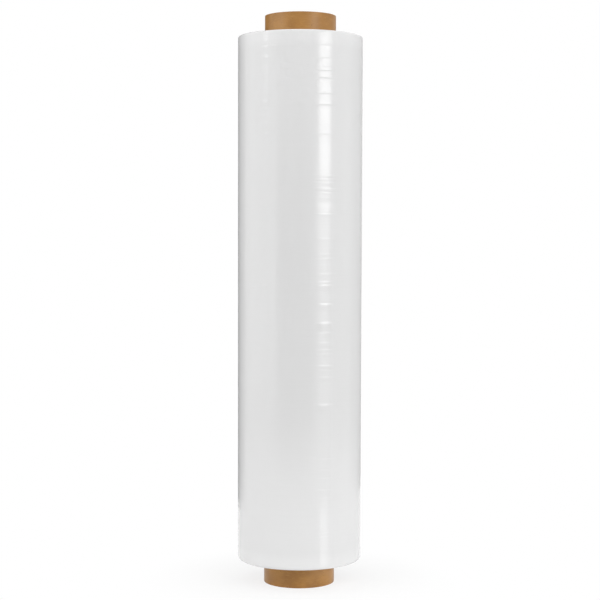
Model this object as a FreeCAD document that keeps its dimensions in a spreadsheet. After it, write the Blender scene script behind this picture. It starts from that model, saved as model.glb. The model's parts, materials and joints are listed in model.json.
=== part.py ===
import FreeCAD, Part
import os
import Sketcher

# Stretch wrap roll: clear film wound on a board tube that reaches past the film at both ends.
# Millimetres, +Z up the tube, origin at the centre of the foot that the roll stands on.
# The front of the roll faces -Y.

doc = FreeCAD.newDocument("stretch_wrap_roll")
V = FreeCAD.Vector

# Driving dimensions
SIZES = {
    "core_bore": 50.8,  # two inch bore, which the dispenser's spindle goes through
    "core_wall": 5.7,  # all plies of the tube together
    "foot_reach": 20.4,  # bare tube below the film
    "top_reach": 18.1,  # bare tube above the film
    "cut_bevel": 0.4,  # outer edge of the tube where it was cut off
    "ply_pitch": 165,  # rise of the outer ply in one turn round the tube
    "seam_width": 0.8,  # gap between two turns of the outer ply
    "seam_depth": 0.3,  # thickness of the outer ply
    "seam_lead": 33.5,  # how far below the foot the seam would start, which turns it to the back
    "film_width": 457,  # eighteen inch film
    "film_depth": 23.05,  # all turns of the film together, at the foot
    "film_flare": 0.3,  # how much deeper the turns lie at the top
    "winding_gap": 0.05,  # between the tube and the first turn
    "edge_round": 2.6,  # where the outermost turns draw in at both ends
    "turn_step": 0.35,  # how far a band of turns may stand back from its neighbours
    "tail_step": 0.15,  # height of the film's loose end over the turn below it
    "tail_angle": 120,  # degrees from +X round to the loose end, on the back
}
TURN_BANDS = 16  # bands of turns that show as rings on each end of the film
STEP_SPREAD = 0.618  # share of the step from one band to the next, never twice the same
MARGIN = 1  # how far a cutting shape reaches past what it cuts

sheet = doc.addObject("Spreadsheet::Sheet", "Sizes")
for row, (alias, size) in enumerate(SIZES.items(), start=1):
    sheet.set(f"A{row}", alias)
    sheet.set(f"B{row}", str(size))
    sheet.setAlias(f"B{row}", alias)
doc.recompute()

# Sizes that follow from the driving ones, as formulas of the sheet
CORE_RADIUS = "(Sizes.core_bore / 2 + Sizes.core_wall)"
CORE_LENGTH = "(Sizes.foot_reach + Sizes.film_width + Sizes.top_reach)"
FILM_BORE = f"({CORE_RADIUS} + Sizes.winding_gap)"
FILM_FOOT = "Sizes.foot_reach"
FILM_TOP = "(Sizes.foot_reach + Sizes.film_width)"
FOOT_DEPTH = "Sizes.film_depth"
TOP_DEPTH = "(Sizes.film_depth + Sizes.film_flare)"
RIM_BAND = "(Sizes.edge_round + Sizes.turn_step)"


def value_of(formula):
    """The number that a formula of the sheet gives now."""
    return float(sheet.evalExpression(formula))


def add_body(node):
    body = doc.addObject("PartDesign::Body", node)
    body.Label = node
    return body


def add_sketch(body, name, role):
    """An empty sketch on one of the body's own origin planes."""
    sketch = body.newObject("Sketcher::SketchObject", name)
    plane = next(item for item in body.Origin.OriginFeatures if item.Role == role)
    sketch.AttachmentSupport = (plane, "")
    sketch.MapMode = "FlatFace"
    return sketch


def draw_outline(sketch, corners):
    """Straight lines from corner to corner, each corner held by a formula across and one up."""
    points = [V(value_of(across), value_of(up), 0) for across, up in corners]
    for start, end in zip(points, points[1:] + points[:1]):
        sketch.addGeometry(Part.LineSegment(start, end))
    last = len(corners) - 1
    for line, corner in enumerate(corners):
        before = line - 1 if line else last
        sketch.addConstraint(Sketcher.Constraint("Coincident", before, 2, line, 1))
        for kind, formula in zip(("DistanceX", "DistanceY"), corner):
            held = Sketcher.Constraint(kind, -1, 1, line, 1, value_of(formula))
            number = sketch.addConstraint(held)
            sketch.setExpression(f"Constraints[{number}]", formula)


def rims_of(solid, rims):
    """The names of the circular edges that lie at the given radii and heights."""
    wanted = [(value_of(across), value_of(up)) for across, up in rims]
    names = []
    for number, edge in enumerate(solid.Shape.Edges, start=1):
        if not isinstance(edge.Curve, Part.Circle):
            continue
        place = (edge.Curve.Radius, edge.Curve.Center.z)
        if any(abs(place[0] - across) + abs(place[1] - up) < 0.001 for across, up in wanted):
            names.append(f"Edge{number}")
    return (solid, names)


def cardboard_core():
    """Spirally wound board tube, cut square, with the seam of its outer ply."""
    body = add_body("cardboard_core")
    ring = add_sketch(body, "tube_ring", "XY_Plane")
    for radius in (CORE_RADIUS, "Sizes.core_bore / 2"):
        circle = ring.addGeometry(Part.Circle(V(0, 0, 0), V(0, 0, 1), value_of(radius)))
        ring.addConstraint(Sketcher.Constraint("Coincident", circle, 3, -1, 1))
        number = ring.addConstraint(Sketcher.Constraint("Radius", circle, value_of(radius)))
        ring.setExpression(f"Constraints[{number}]", radius)
    tube = body.newObject("PartDesign::Pad", "tube")
    tube.Profile = ring
    tube.setExpression("Length", CORE_LENGTH)
    doc.recompute()

    rims = rims_of(tube, [(CORE_RADIUS, "0"), (CORE_RADIUS, CORE_LENGTH)])
    bevel = body.newObject("PartDesign::Chamfer", "cut_rims")
    bevel.Base = rims
    bevel.setExpression("Size", "Sizes.cut_bevel")

    inner = f"{CORE_RADIUS} - Sizes.seam_depth"
    outer = f"{CORE_RADIUS} + {MARGIN}"
    lower = "-Sizes.seam_lead - Sizes.seam_width / 2"
    upper = "-Sizes.seam_lead + Sizes.seam_width / 2"
    section = add_sketch(body, "seam_section", "XZ_Plane")
    draw_outline(section, [(inner, lower), (outer, lower), (outer, upper), (inner, upper)])
    seam = body.newObject("PartDesign::SubtractiveHelix", "ply_seam")
    seam.Profile = section
    seam.ReferenceAxis = (section, ["V_Axis"])
    seam.Mode = "pitch-height-angle"
    seam.setExpression("Pitch", "Sizes.ply_pitch")
    seam.setExpression("Height", f"{CORE_LENGTH} + Sizes.seam_lead + Sizes.seam_width + {MARGIN}")
    return body


def turn_bands(depth, end, inward):
    """Corners along one end of the film, from the bore outwards, where one band of turns meets the next."""
    corners = []
    for band in range(TURN_BANDS):
        across = f"{FILM_BORE} + ({depth} - {RIM_BAND}) * {band} / {TURN_BANDS}"
        share = band * STEP_SPREAD % 1
        corners.append((across, f"{end} {inward} Sizes.turn_step * {share:.3f}"))
    rim = f"{FILM_BORE} + {depth}"
    return corners + [(f"{rim} - {RIM_BAND}", end), (rim, end)]


def wound_film():
    """The film's turns as one solid, with its banded ends, drawn-in edges and loose end."""
    body = add_body("wound_film")
    section = add_sketch(body, "film_section", "XZ_Plane")
    foot_end = turn_bands(FOOT_DEPTH, FILM_FOOT, "+")
    top_end = turn_bands(TOP_DEPTH, FILM_TOP, "-")
    draw_outline(section, foot_end + top_end[::-1])
    turns = body.newObject("PartDesign::Revolution", "turns")
    turns.Profile = section
    turns.ReferenceAxis = (section, ["V_Axis"])
    turns.Angle = 360
    doc.recompute()

    rims = rims_of(turns, [foot_end[-1], top_end[-1]])
    drawn_in = body.newObject("PartDesign::Fillet", "drawn_in_edges")
    drawn_in.Base = rims
    drawn_in.setExpression("Radius", "Sizes.edge_round")

    ends = []
    for name, depth, height in (
        ("tail_foot", FOOT_DEPTH, f"{FILM_FOOT} - {MARGIN}"),
        ("tail_top", TOP_DEPTH, f"{FILM_TOP} + {MARGIN}"),
    ):
        radius = f"({FILM_BORE} + {depth})"
        below = f"{radius} - Sizes.tail_step"
        above = f"{radius} + {MARGIN}"
        run = f"sqrt(2 * {radius} * Sizes.tail_step) + {MARGIN}"
        step = add_sketch(body, name, "XY_Plane")
        step.setExpression("AttachmentOffset.Base.z", height)
        step.setExpression("AttachmentOffset.Rotation.Angle", "Sizes.tail_angle")
        draw_outline(step, [(below, "0"), (above, "0"), (above, run), (below, run)])
        ends.append(step)
    tail = body.newObject("PartDesign::SubtractiveLoft", "tail")
    tail.Profile = ends[0]
    tail.Sections = [ends[1]]
    tail.Ruled = True
    return body


bodies = [cardboard_core(), wound_film()]
doc.recompute()

for item in doc.Objects:
    if "Invalid" in item.State or "Error" in item.State:
        raise RuntimeError(f"{item.Name} failed: {item.State}")
for body in bodies:
    if body.Shape.isNull() or not body.Shape.isValid():
        raise RuntimeError(f"{body.Label} has no valid shape")

os.makedirs("parts", exist_ok=True)
for body in bodies:
    body.Shape.exportStep(f"parts/{body.Label}.step")
    print(body.Label, round(body.Shape.Volume), "mm3,", len(body.Shape.Faces), "faces")
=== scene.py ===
import json
from math import atan2, ceil, cos, pi, radians, sin, tau
from random import Random

import bmesh
import bpy
from mathutils import Matrix, Vector, noise


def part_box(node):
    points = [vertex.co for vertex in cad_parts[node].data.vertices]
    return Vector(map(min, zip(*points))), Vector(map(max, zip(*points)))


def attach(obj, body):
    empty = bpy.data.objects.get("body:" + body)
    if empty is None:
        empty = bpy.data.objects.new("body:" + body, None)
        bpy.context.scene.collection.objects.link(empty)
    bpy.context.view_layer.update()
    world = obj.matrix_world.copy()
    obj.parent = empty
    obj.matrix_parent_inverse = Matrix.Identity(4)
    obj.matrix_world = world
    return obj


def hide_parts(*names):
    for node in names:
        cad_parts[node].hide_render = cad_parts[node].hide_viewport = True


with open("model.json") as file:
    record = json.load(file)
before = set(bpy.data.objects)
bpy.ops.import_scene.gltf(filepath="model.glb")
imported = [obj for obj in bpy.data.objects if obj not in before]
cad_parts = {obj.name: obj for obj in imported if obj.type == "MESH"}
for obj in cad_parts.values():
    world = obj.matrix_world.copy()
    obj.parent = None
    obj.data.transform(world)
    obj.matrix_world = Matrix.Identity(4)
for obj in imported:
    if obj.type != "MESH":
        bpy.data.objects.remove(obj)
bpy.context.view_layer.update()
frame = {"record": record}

# The tube is kraft board: paper plies glued round a mandrel in a spiral and sawn off square.
# The outer and the inner ply are strips whose edges nearly meet, in a seam that climbs the tube;
# the plies between them are one solid wall, whose layers show on the sawn ends.
MM = 0.001
bore_mount = next(m for m in frame["record"]["mounts"] if m["kind"] == "bore")
core_low, core_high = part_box("cardboard_core")
core_length = core_high.z - core_low.z
core_radius = core_high.x
bore_radius = bore_mount["dims"]["r_mm"] * MM
ply_thickness = 0.3 * MM
ply_pitch = 165 * MM
seam_width = 0.8 * MM
seam_at_foot = radians(73)
inner_seam_at_foot = radians(200)
rim_draw = 0.16 * MM  # how far the saw drew the outer ply in at both ends
at_the_rim = 0.01 * MM
end_layers = 11
layer_relief = 0.06 * MM
tube_steps = 160
spare_turns = 3  # let a ply start below the foot and end above the top
touching = 0.001 * MM  # points nearer than this are joined
cut_tolerance = 0.0001 * MM


def finished_piece(shape, name, smooth_below=radians(32)):
    """Turn a bmesh into a piece that rides on the roll, smooth except along its sharp edges."""
    mesh = bpy.data.meshes.new(name)
    for edge in shape.edges:
        edge.smooth = edge.is_manifold and edge.calc_face_angle(pi) < smooth_below
    for face in shape.faces:
        face.smooth = True
    shape.to_mesh(mesh)
    shape.free()
    piece = bpy.data.objects.new(name, mesh)
    bpy.context.scene.collection.objects.link(piece)
    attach(piece, "root")
    return piece


def turned(section, steps, start=0.0):
    """A closed section of (radius, height) points, turned once round the upright axis."""
    shape = bmesh.new()
    points = [shape.verts.new((r * cos(start), r * sin(start), z)) for r, z in section]
    edges = [shape.edges.new((a, b)) for a, b in zip(points, points[1:] + points[:1])]
    bmesh.ops.spin(shape, geom=points + edges, cent=(0, 0, 0), axis=(0, 0, 1), angle=tau,
                   steps=steps, use_merge=True, use_duplicate=False)
    bmesh.ops.remove_doubles(shape, verts=shape.verts, dist=touching)
    bmesh.ops.recalc_face_normals(shape, faces=shape.faces)
    return shape


def spiral_ply(inside, outside, seam_azimuth):
    """A strip of paper laid round the tube, one edge next to the other, and sawn off with it."""
    shape = bmesh.new()
    low = -ply_pitch * (1 + seam_azimuth / tau) + seam_width / 2
    high = low + ply_pitch - seam_width
    corners = [(inside, low), (outside, low), (outside, high), (inside, high)]
    points = [shape.verts.new((r, 0, z)) for r, z in corners]
    section = shape.faces.new(points)
    turns = int(core_length / ply_pitch) + spare_turns
    bmesh.ops.spin(shape, geom=[section] + list(section.edges) + points, cent=(0, 0, 0),
                   axis=(0, 0, 1), angle=tau * turns, dvec=(0, 0, ply_pitch / tube_steps),
                   steps=tube_steps * turns, use_merge=False, use_duplicate=False)
    for height, upward in ((core_low.z, -1), (core_high.z, 1)):
        whole = shape.verts[:] + shape.edges[:] + shape.faces[:]
        cut = bmesh.ops.bisect_plane(shape, geom=whole, dist=cut_tolerance,
                                     plane_co=(0, 0, height), plane_no=(0, 0, upward),
                                     clear_outer=True)
        rim = [item for item in cut["geom_cut"] if isinstance(item, bmesh.types.BMEdge)]
        bmesh.ops.triangle_fill(shape, edges=rim, use_beauty=True)
    bmesh.ops.recalc_face_normals(shape, faces=shape.faces)
    return shape


def sawn_end(low_radius, high_radius, height, inward):
    """Points across a sawn end, from the smaller radius out, each ply a little off its neighbour."""
    points = []
    for layer in range(end_layers * 2 + 1):
        radius = low_radius + (high_radius - low_radius) * layer / (end_layers * 2)
        points.append((radius, height + inward * layer_relief * (layer % 2)))
    return points


wall_inside = bore_radius + ply_thickness
wall_outside = core_radius - ply_thickness
foot_end = sawn_end(wall_inside, wall_outside, core_low.z, 1)
top_end = sawn_end(wall_inside, wall_outside, core_high.z, -1)
tube_wall = finished_piece(turned(foot_end + top_end[::-1], tube_steps), "tube_wall")
outer_ply_shape = spiral_ply(wall_outside, core_radius, seam_at_foot)
for point in outer_ply_shape.verts:
    if min(point.co.z - core_low.z, core_high.z - point.co.z) < at_the_rim:
        point.co.xy *= 1 - rim_draw / core_radius
outer_ply = finished_piece(outer_ply_shape, "outer_ply")
inner_ply = finished_piece(spiral_ply(bore_radius, wall_inside, inner_seam_at_foot), "inner_ply")
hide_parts("cardboard_core")

# Kraft paper: unbleached pulp, so brown, with long fibres and darker specks, and burnished to a
# soft sheen where the tube ran through the winder. The sawn ends are rougher and show the plies.
# Fibres and specks are drawn coarser than they are, so that they show.
KRAFT_MID = "#AE7D3E"
KRAFT_LIGHT = "#BA8D4C"
KRAFT_DARK = "#9E6F36"
KRAFT_SPECK = "#80562C"
SAWN_PLY = "#9C7446"
SAWN_GLUE = "#765029"
mottle_size = 16 * MM
fibre_length = 4 * MM
fibre_slenderness = 5  # how many times longer round the tube than up it
speck_size = 0.9 * MM


def linear(colour):
    """An sRGB colour, written #RRGGBB, as the linear light that a shader takes."""
    shares = [int(colour[place:place + 2], 16) / 255 for place in (1, 3, 5)]
    return [s / 12.92 if s <= 0.04045 else ((s + 0.055) / 1.055) ** 2.4 for s in shares] + [1]


def add_node(material, kind, inputs=None, **settings):
    """Add a node. An input is given a value, or another node's output that is linked to it."""
    node = material.node_tree.nodes.new(kind)
    for name, value in settings.items():
        setattr(node, name, value)
    for name, value in (inputs or {}).items():
        if isinstance(value, bpy.types.NodeSocket):
            material.node_tree.links.new(value, node.inputs[name])
        else:
            node.inputs[name].default_value = value
    return node


def new_material(name):
    """A material without any nodes yet."""
    material = bpy.data.materials.new(name)
    material.use_nodes = True
    material.node_tree.nodes.clear()
    return material


def kraft_board(name, base, light, dark, roughness, fibre_relief):
    """Kraft paper: cloudy pulp, pale fibres that run round the tube, and dark specks."""
    board = new_material(name)
    place = add_node(board, "ShaderNodeTexCoord").outputs["Object"]
    mottle = add_node(board, "ShaderNodeTexNoise",
                      {"Vector": place, "Scale": 1 / mottle_size, "Detail": 3.0})
    along = add_node(board, "ShaderNodeMapping", {"Vector": place, "Scale": (1, 1, fibre_slenderness)})
    fibres = add_node(board, "ShaderNodeTexNoise",
                      {"Vector": along.outputs[0], "Scale": 1 / fibre_length, "Detail": 6.0,
                       "Roughness": 0.7})
    specks = add_node(board, "ShaderNodeTexNoise",
                      {"Vector": place, "Scale": 1 / speck_size, "Detail": 1.0})
    cloudy = add_node(board, "ShaderNodeMapRange",
                      {"Value": mottle.outputs[0], "From Min": 0.35, "From Max": 0.65})
    body = add_node(board, "ShaderNodeMix", {0: cloudy.outputs[0], 6: linear(dark),
                                             7: linear(base)}, data_type="RGBA")
    pale = add_node(board, "ShaderNodeMapRange",
                    {"Value": fibres.outputs[0], "From Min": 0.5, "From Max": 0.75,
                     "To Max": 0.7})
    fibrous = add_node(board, "ShaderNodeMix", {0: pale.outputs[0], 6: body.outputs[2],
                                                7: linear(light)}, data_type="RGBA")
    few = add_node(board, "ShaderNodeMapRange",
                   {"Value": specks.outputs[0], "From Min": 0.68, "From Max": 0.8})
    flecked = add_node(board, "ShaderNodeMix", {0: few.outputs[0], 6: fibrous.outputs[2],
                                                7: linear(KRAFT_SPECK)}, data_type="RGBA")
    relief = add_node(board, "ShaderNodeBump", {"Height": fibres.outputs[0], "Strength": 1.0,
                                                "Distance": fibre_relief})
    shade = add_node(board, "ShaderNodeBsdfPrincipled",
                     {"Base Color": flecked.outputs[2], "Roughness": roughness, "IOR": 1.45,
                      "Sheen Weight": 0.2, "Sheen Roughness": 0.3,
                      "Normal": relief.outputs[0]})
    add_node(board, "ShaderNodeOutputMaterial", {"Surface": shade.outputs[0]})
    return board


burnished_kraft = kraft_board("burnished_kraft_paper", KRAFT_MID, KRAFT_LIGHT, KRAFT_DARK,
                              roughness=0.38, fibre_relief=0.02 * MM)
sawn_kraft = kraft_board("sawn_kraft_board", SAWN_PLY, KRAFT_MID, SAWN_GLUE,
                         roughness=0.85, fibre_relief=0.12 * MM)
tube_wall.data.materials.append(sawn_kraft)
for ply in (outer_ply, inner_ply):
    ply.data.materials.append(burnished_kraft)
    ply.data.materials.append(sawn_kraft)
    for face in ply.data.polygons:
        looks_up_or_down = abs(face.normal.z) > 0.7
        face.material_index = int(looks_up_or_down)

# The film is clear polyethylene cast in a sheet, wound on the tube under tension in hundreds of
# turns that cling together, so the roll looks milky and glossy. Its web is uneven, which leaves
# shallow ridges round the roll, and the turns don't end level, which leaves rings on both ends.
film_low, film_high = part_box("wound_film")
film_foot, film_top = film_low.z, film_high.z
film_width = film_top - film_foot
film_radius = film_high.x
film_taper = 0.3 * MM
winding_gap = 0.05 * MM
film_bore = core_radius + winding_gap
foot_round = 2.6 * MM
top_round = 1.5 * MM
plain_rim = 0.35 * MM  # between the last ring and the rounded edge
arc_steps = 7
turn_bands = 16
band_spread = 0.618  # spreads the bands evenly over the step, no two alike
band_step = 0.33 * MM
rings_per_band = 4
ring_relief = 0.05 * MM
film_columns = 128
row_height = 1.4 * MM
closest_rows = 0.15 * MM  # rows nearer than this are left out
tail_azimuth = radians(120)
tail_step = 0.14 * MM
tail_run = 4.5 * MM


def outer_radius(height):
    """Radius of the roll's outermost turn, which is a little smaller towards the foot."""
    return film_radius - film_taper * (film_top - height) / film_width


def film_end(height, inward, edge_round):
    """Points along one end of the film, from its bore to the rounded edge."""
    reach = outer_radius(height) - edge_round - plain_rim - film_bore
    points = []
    rings = turn_bands * rings_per_band
    for ring in range(rings):
        band, along = divmod(ring, rings_per_band)
        here = band * band_spread % 1
        after = (band + 1) * band_spread % 1 if band + 1 < turn_bands else 0
        stand_back = band_step * (here + (after - here) * along / rings_per_band)
        stand_back += ring_relief * (ring % 2)
        points.append((film_bore + reach * ring / rings, height + inward * stand_back))
    centre = outer_radius(height) - edge_round
    for step in range(arc_steps + 1):
        angle = pi / 2 * step / arc_steps
        points.append((centre + edge_round * sin(angle),
                       height + inward * edge_round * (1 - cos(angle))))
    return points


# Ridges and grooves of the web on the side that the strip of light falls on, in millimetres: the
# height above the film's foot, how far it stands out, and half the width of its upper side. The
# turns lap over each other, so a ridge's underside is wider. The ridges are longer higher up.
LIT_RIDGES = (
    (444, 0.06, 1.0), (433, 0.05, 1.0), (426, 0.05, 0.9), (422.6, 0.16, 1.1),
    (416, 0.15, 1.1), (403, 0.14, 1.0), (394, 0.18, 1.0), (377, 0.08, 1.0),
    (369, 0.16, 1.4), (335.2, 0.14, 1.0), (332.3, 0.1, 0.9), (329.2, 0.16, 1.0),
    (324, 0.16, 1.0), (320.6, 0.1, 0.9), (312.6, -0.15, 4.2), (308.0, 0.1, 4.4),
    (302.3, 0.1, 1.2), (282, 0.08, 1.2), (268.6, 0.06, 1.2), (264.8, 0.06, 1.2),
    (252.5, 0.08, 1.2), (245.5, 0.14, 1.4), (241.9, 0.31, 2.1), (225.9, 0.28, 2.1),
    (209.6, 0.36, 2.6), (201.2, 0.14, 1.5), (193.1, 0.12, 1.5), (187.4, 0.1, 1.2),
    (184, 0.1, 1.2), (173.8, 0.16, 1.4), (170.2, 0.1, 1.2), (164.4, 0.1, 1.2),
    (140.4, 0.32, 2.1), (94.6, 0.1, 1.3), (85, 0.06, 1.2), (78, 0.06, 1.2),
    (68, 0.1, 1.3), (61, 0.06, 1.2), (51, 0.1, 2.0), (31, 0.05, 1.2),
    (28, 0.09, 1.3), (17, 0.1, 2.0),
)
underside = 3  # width of a ridge's lower side over that of its upper side
lit_azimuth = radians(-66.5)
long_reach, short_reach = radians(14), radians(10.5)
long_from = 250
ridges = [(lit_azimuth, long_reach if ridge[0] > long_from else short_reach, *ridge)
          for ridge in LIT_RIDGES]

# Flecks are short ridges: their azimuth in degrees and height above the film's foot in millimetres.
FLECKS = (
    (-122, 449), (-123, 443), (-113, 443), (-121, 434), (-124, 397), (-123, 391), (-124, 386),
    (-122, 379), (-121, 370), (-121, 309), (-123, 242), (-122, 211), (-103, 434), (-105, 427),
    (-102, 422), (-104, 416), (-88, 448), (-86, 424), (-90, 420), (-84, 406), (-89, 397),
    (-80, 95.5),
)
fleck_reach, fleck_out, fleck_half = radians(5), 0.22, 1.9
ridges += [(radians(azimuth), fleck_reach, height, fleck_out, fleck_half)
           for azimuth, height in FLECKS]

# On the rest of the roll the ridges lie anywhere, and are lower and longer. Azimuths and reaches
# are in degrees, the rest in millimetres.
stray_ridges = 90
stray_azimuths, stray_reaches = (-15, 230), (14, 50)
stray_heights, stray_outs, stray_halves = (6, 450), (0.03, 0.09), (1.6, 2.4)
chance = Random(12)
for _ in range(stray_ridges):
    azimuth = radians(chance.uniform(*stray_azimuths))
    reach = radians(chance.uniform(*stray_reaches))
    ridges.append((azimuth, reach, chance.uniform(*stray_heights),
                   chance.uniform(*stray_outs), chance.uniform(*stray_halves)))


def row_heights():
    """Heights of the rows of points up the film's side, close together over each lit ridge.

    Both rounded edges have their own points there, so the lowest mark is left out."""
    marks = [foot_round, film_width - top_round]
    for place, _, half in LIT_RIDGES:
        marks += [(place + half * quarter / 4) * MM for quarter in range(5)]
        marks += [(place - half * underside * third / 3) * MM for third in (1, 2, 3)]
    marks.sort()
    heights = []
    for low, high in zip(marks, marks[1:]):
        if high - low > closest_rows:
            steps = ceil((high - low) / row_height)
            heights += [film_foot + low + (high - low) * step / steps for step in range(steps)]
    return heights[1:]


foot_points = film_end(film_foot, 1, foot_round)
top_points = film_end(film_top, -1, top_round)
side_points = [(outer_radius(z), z) for z in row_heights()]
film_shape = turned(foot_points + side_points + top_points[::-1], film_columns, tail_azimuth)

# The loose end of the film is cut across and clings to the turn below it, so it shows as a low
# step along the back of the roll.
tail_edge = radians(0.3)  # how far round the step takes to rise
step_azimuth = tail_azimuth + tail_edge
everything = film_shape.verts[:] + film_shape.edges[:] + film_shape.faces[:]
bmesh.ops.bisect_plane(film_shape, geom=everything, dist=cut_tolerance, plane_co=(0, 0, 0),
                       plane_no=(-sin(step_azimuth), cos(step_azimuth), 0))

# The sheet's gauge swells and ripples, and its ridges wander a little up and down the roll.
gauge_swell = 0.06 * MM
ripple_swell = 0.03 * MM
ridge_wander = 0.6  # in millimetres
ridge_fullness = 0.8  # over 0.5, a ridge keeps its height for longer before it runs out
ridge_room = 0.11 * MM  # the plain turns lie in by this much, to leave the ridges room


def unevenness(azimuth, above, around, length, start=0):
    """Smooth noise that closes round the roll, in which it changes about 6 * around times.

    Up the roll it changes once per length in millimetres. Another start gives another noise."""
    return noise.noise(Vector((cos(azimuth) * around + start, sin(azimuth) * around,
                               above / length)))


def winding_relief(azimuth, height):
    """How far the film stands in from its outermost radius, in metres."""
    above = (height - film_foot) / MM
    swell = gauge_swell * unevenness(azimuth, above, around=0.4, length=34)
    swell += ripple_swell * unevenness(azimuth, above, around=1.9, length=3.6, start=7)
    above += ridge_wander * unevenness(azimuth, above, around=3.5, length=15)
    for centre, reach, place, out, half in ridges:
        across = (above - place) / half
        if across < 0:
            across = -across / underside
        along = abs((azimuth - centre + pi) % tau - pi) / reach
        if across < 1 and along < 1:
            full_height = min(ridge_fullness * (1 + cos(pi * along)), 1)
            swell += out * MM * full_height * (1 + cos(pi * across)) / 2
    return gauge_swell + ripple_swell + ridge_room - swell


for point in film_shape.verts:
    radius = point.co.xy.length
    inset = outer_radius(point.co.z) - radius
    edge_round = foot_round if point.co.z < film_foot + film_width / 2 else top_round
    if inset > edge_round:
        continue
    azimuth = atan2(point.co.y, point.co.x)
    fade = 1 - inset / edge_round
    drop = winding_relief(azimuth, point.co.z)
    past_tail = ((azimuth - tail_azimuth) % tau) * radius
    if tail_edge / 2 * radius < past_tail < tail_run:
        drop += tail_step * (1 - past_tail / tail_run) ** 2
    point.co.xy *= (radius - drop * fade) / radius

wound_film = finished_piece(film_shape, "wound_turns", smooth_below=radians(60))
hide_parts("wound_film")

# Cast polyethylene, clear and high gloss: one turn is invisible, hundreds of them scatter the
# light between them like milk. Fine wrinkles break up the gloss round the roll. Near both ends
# the film's colour is painted a little lighter: painted light, where the ends of the roll are
# brighter.
FILM_MILK = "#E0E0E0"
FILM_END_PAINTED_LIGHT = "#E4E4E4"
end_light_reach = 16 * MM
end_light_full = 6 * MM
wrinkle_height = 2.2 * MM
wrinkle_length = 22 * MM
wrinkle_depth = 0.05 * MM
scatter_depth = 3 * MM

film_material = new_material("cast_polyethylene_film")
film_place = add_node(film_material, "ShaderNodeTexCoord").outputs["Object"]
stretched = add_node(film_material, "ShaderNodeMapping",
                     {"Vector": film_place,
                      "Scale": (1 / wrinkle_length, 1 / wrinkle_length, 1 / wrinkle_height)})
wrinkles = add_node(film_material, "ShaderNodeTexNoise",
                    {"Vector": stretched.outputs[0], "Scale": 1.0, "Detail": 2.0})
wrinkle_relief = add_node(film_material, "ShaderNodeBump",
                          {"Height": wrinkles.outputs[0], "Strength": 1.0,
                           "Distance": wrinkle_depth})
film_height = add_node(film_material, "ShaderNodeSeparateXYZ", {"Vector": film_place})
past_middle = add_node(film_material, "ShaderNodeMath",
                       {0: film_height.outputs["Z"], 1: (film_foot + film_top) / 2},
                       operation="SUBTRACT")
from_middle = add_node(film_material, "ShaderNodeMath", {0: past_middle.outputs[0]},
                       operation="ABSOLUTE")
# Painted light: towards both ends the film's milky colour is mixed into a lighter one.
end_light_share = add_node(film_material, "ShaderNodeMapRange",
                 {"Value": from_middle.outputs[0], "From Min": film_width / 2 - end_light_reach,
                  "From Max": film_width / 2 - end_light_full}, interpolation_type="SMOOTHSTEP")
film_milk_and_end_light = add_node(film_material, "ShaderNodeMix",
                     {0: end_light_share.outputs[0], 6: linear(FILM_MILK), 7: linear(FILM_END_PAINTED_LIGHT)},
                     data_type="RGBA")
film_shade = add_node(film_material, "ShaderNodeBsdfPrincipled",
                      {"Base Color": film_milk_and_end_light.outputs[2], "Roughness": 0.2, "IOR": 1.5,
                       "Subsurface Weight": 0.3, "Subsurface Radius": (1, 1, 1),
                       "Subsurface Scale": scatter_depth, "Normal": wrinkle_relief.outputs[0]})
add_node(film_material, "ShaderNodeOutputMaterial", {"Surface": film_shade.outputs[0]})
wound_film.data.materials.append(film_material)

# The floor is a plain white sheet. It keeps the roll's shadow, and is lifted to white only where
# it is seen directly or in a reflection, less so close to the tube.
FLOOR_WHITE = "#F2F2F2"
floor_radius = 1.6
shadow_radius = 30 * MM
white_radius = 150 * MM
shadow_lift = 0.78

floor_shape = bmesh.new()
bmesh.ops.create_circle(floor_shape, cap_ends=True, segments=96, radius=floor_radius)
floor_mesh = bpy.data.meshes.new("floor")
floor_shape.to_mesh(floor_mesh)
floor_shape.free()
floor = bpy.data.objects.new("floor", floor_mesh)
bpy.context.scene.collection.objects.link(floor)


def shown_share(material):
    """1 for a ray that shows the background, straight or in what shines, and 0 for other rays."""
    ray = add_node(material, "ShaderNodeLightPath")
    seen = add_node(material, "ShaderNodeMath", {0: ray.outputs["Is Camera Ray"],
                                                 1: ray.outputs["Is Glossy Ray"]}, operation="ADD")
    return add_node(material, "ShaderNodeMath", {0: seen.outputs[0],
                                                 1: ray.outputs["Is Transmission Ray"]},
                    operation="ADD", use_clamp=True).outputs[0]


floor_material = new_material("white_floor")
spot = add_node(floor_material, "ShaderNodeTexCoord").outputs["Object"]
distance = add_node(floor_material, "ShaderNodeVectorMath", {0: spot}, operation="LENGTH")
away = add_node(floor_material, "ShaderNodeMapRange",
                {"Value": distance.outputs["Value"], "From Min": shadow_radius,
                 "From Max": white_radius, "To Min": shadow_lift},
                interpolation_type="SMOOTHSTEP")
lift = add_node(floor_material, "ShaderNodeMath", {0: shown_share(floor_material),
                                                   1: away.outputs[0]}, operation="MULTIPLY")
white = add_node(floor_material, "ShaderNodeEmission", {"Color": linear("#FFFFFF")})
matt = add_node(floor_material, "ShaderNodeBsdfDiffuse", {"Color": linear(FLOOR_WHITE)})
floor_shade = add_node(floor_material, "ShaderNodeMixShader", {0: lift.outputs[0],
                                                               1: matt.outputs[0],
                                                               2: white.outputs[0]})
add_node(floor_material, "ShaderNodeOutputMaterial", {"Surface": floor_shade.outputs[0]})
floor.data.materials.append(floor_material)

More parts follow.
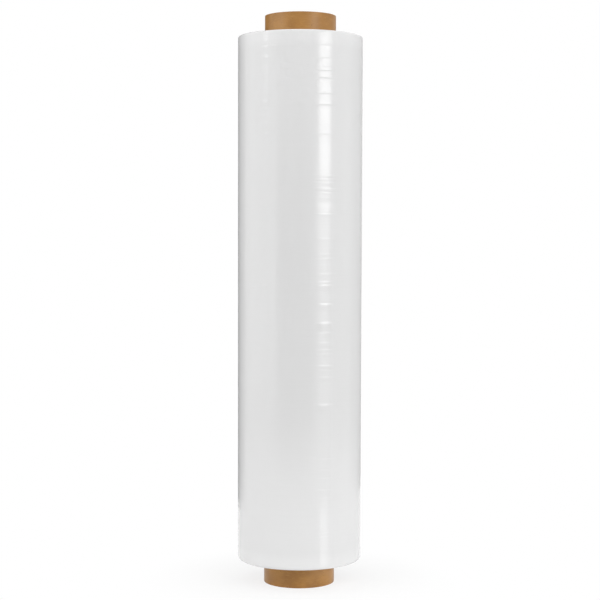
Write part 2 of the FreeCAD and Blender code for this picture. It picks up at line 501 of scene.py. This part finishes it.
# The room is a white tent, seen as plain white, also in what shines. Its cloth lights the roll a
# little less than that.
tent_light = 0.85
world = bpy.data.worlds.new("white_tent")
world.use_nodes = True
world.node_tree.nodes.clear()
bpy.context.scene.world = world
tent_level = add_node(world, "ShaderNodeMapRange",
                      {"Value": shown_share(world), "To Min": tent_light, "To Max": 1.0})
tent = add_node(world, "ShaderNodeBackground", {"Color": linear("#FFFFFF"),
                                                "Strength": tent_level.outputs[0]})
add_node(world, "ShaderNodeOutputWorld", {"Surface": tent.outputs[0]})

# Softboxes stand round the roll. The film mirrors the bright one to the right of the camera as a
# strip of light, which two dim ones carry on down to its foot. The others light the roll, the
# tube under the film and the floor, and a narrow one at the left makes the flecks sparkle.
watts_for_radiance = 4  # per square metre of lamp


def softbox(name, bearing, distance, middle, width, height, radiance, tilt=90, lights=True):
    """A lamp at a bearing in degrees from the camera, to its right, that faces the roll.

    Its tilt is 90 degrees for an upright lamp and 0 for one that faces the floor. One that
    doesn't light shows in what shines and nowhere else. Sizes are in metres."""
    lamp = bpy.data.lights.new(name, "AREA")
    lamp.shape = "RECTANGLE"
    lamp.size, lamp.size_y = width, height
    lamp.energy = radiance * watts_for_radiance * width * height
    holder = bpy.data.objects.new(name, lamp)
    bpy.context.scene.collection.objects.link(holder)
    angle = radians(bearing - 90)
    place = Vector((cos(angle), sin(angle), 0)) * distance
    holder.location = place + Vector((0, 0, middle))
    holder.rotation_euler = (radians(tilt), 0, angle + pi / 2)
    holder.visible_camera = False
    holder.visible_diffuse = lights


softbox("strip_light", bearing=45, distance=1.2, middle=0.51,
        width=0.465, height=0.31, radiance=5.1)
softbox("strip_light_foot", bearing=44, distance=1.2, middle=0.18,
        width=0.4, height=0.34, radiance=1.2, lights=False)
softbox("foot_light", bearing=37, distance=0.132, middle=0.03,
        width=0.028, height=0.06, radiance=1.4, lights=False)
softbox("core_light", bearing=62, distance=0.052, middle=0.01,
        width=0.036, height=0.014, radiance=0.5)
softbox("left_light", bearing=-72, distance=1.0, middle=0.62,
        width=1.18, height=1.2, radiance=0.42)
softbox("overhead_light", bearing=0, distance=0, middle=1.5,
        width=1.0, height=1.0, radiance=0.55, tilt=0)
softbox("right_floor_light", bearing=50, distance=0.32, middle=0.15,
        width=0.3, height=0.3, radiance=0.45, tilt=0)
softbox("left_floor_light", bearing=-35, distance=0.34, middle=0.15,
        width=0.3, height=0.3, radiance=0.52, tilt=0)
softbox("sparkle_light", bearing=-64, distance=1.2, middle=0.78,
        width=0.04, height=0.35, radiance=14)


def card(name, bearing, distance, width, height, colour):
    """A card that stands on the floor and faces the roll, and that the camera doesn't see."""
    shape = bmesh.new()
    bmesh.ops.create_grid(shape, x_segments=1, y_segments=1, size=0.5)
    angle = radians(bearing - 90)
    place = Vector((cos(angle), sin(angle), 0)) * distance + Vector((0, 0, height / 2))
    bmesh.ops.transform(shape, verts=shape.verts, matrix=(
        Matrix.Translation(place) @ Matrix.Rotation(angle + pi / 2, 4, "Z")
        @ Matrix.Rotation(pi / 2, 4, "X") @ Matrix.Diagonal((width, height, 1, 1))))
    mesh = bpy.data.meshes.new(name)
    shape.to_mesh(mesh)
    shape.free()
    board = bpy.data.objects.new(name, mesh)
    bpy.context.scene.collection.objects.link(board)
    board.visible_camera = False
    finish = new_material(name)
    matt_side = add_node(finish, "ShaderNodeBsdfDiffuse", {"Color": linear(colour)})
    add_node(finish, "ShaderNodeOutputMaterial", {"Surface": matt_side.outputs[0]})
    board.data.materials.append(finish)


# Black behind the roll on the left, which darkens the film's left edge, a low grey curtain between
# the camera and the roll, and pale grey behind the roll on the right.
card("black_card", bearing=-149, distance=0.4, width=0.485, height=0.92, colour="#080808")
card("grey_curtain", bearing=-8.7, distance=0.8, width=1.035, height=0.45, colour="#888888")
card("pale_card", bearing=140, distance=0.5, width=0.75, height=0.62, colour="#C8C8C8")

# The camera stands 1.3 m in front of the roll, a little above its middle, and looks slightly down.
# Its place, tilt, lean and lens were fitted to the rims and outlines in the photo.
camera_place = Vector((0.2, -1298.0, 305.1)) * MM
camera_tilt = radians(2.504)
camera_lean = radians(0.155)
camera_data = bpy.data.cameras.new("camera")
camera_data.lens = 88.73
camera_data.sensor_width = 36
camera = bpy.data.objects.new("camera", camera_data)
bpy.context.scene.collection.objects.link(camera)
camera.matrix_world = (Matrix.Translation(camera_place)
                       @ Matrix.Rotation(pi / 2 - camera_tilt, 4, "X")
                       @ Matrix.Rotation(camera_lean, 4, "Z"))
bpy.context.scene.camera = camera
bpy.context.scene.view_settings.view_transform = "Standard"
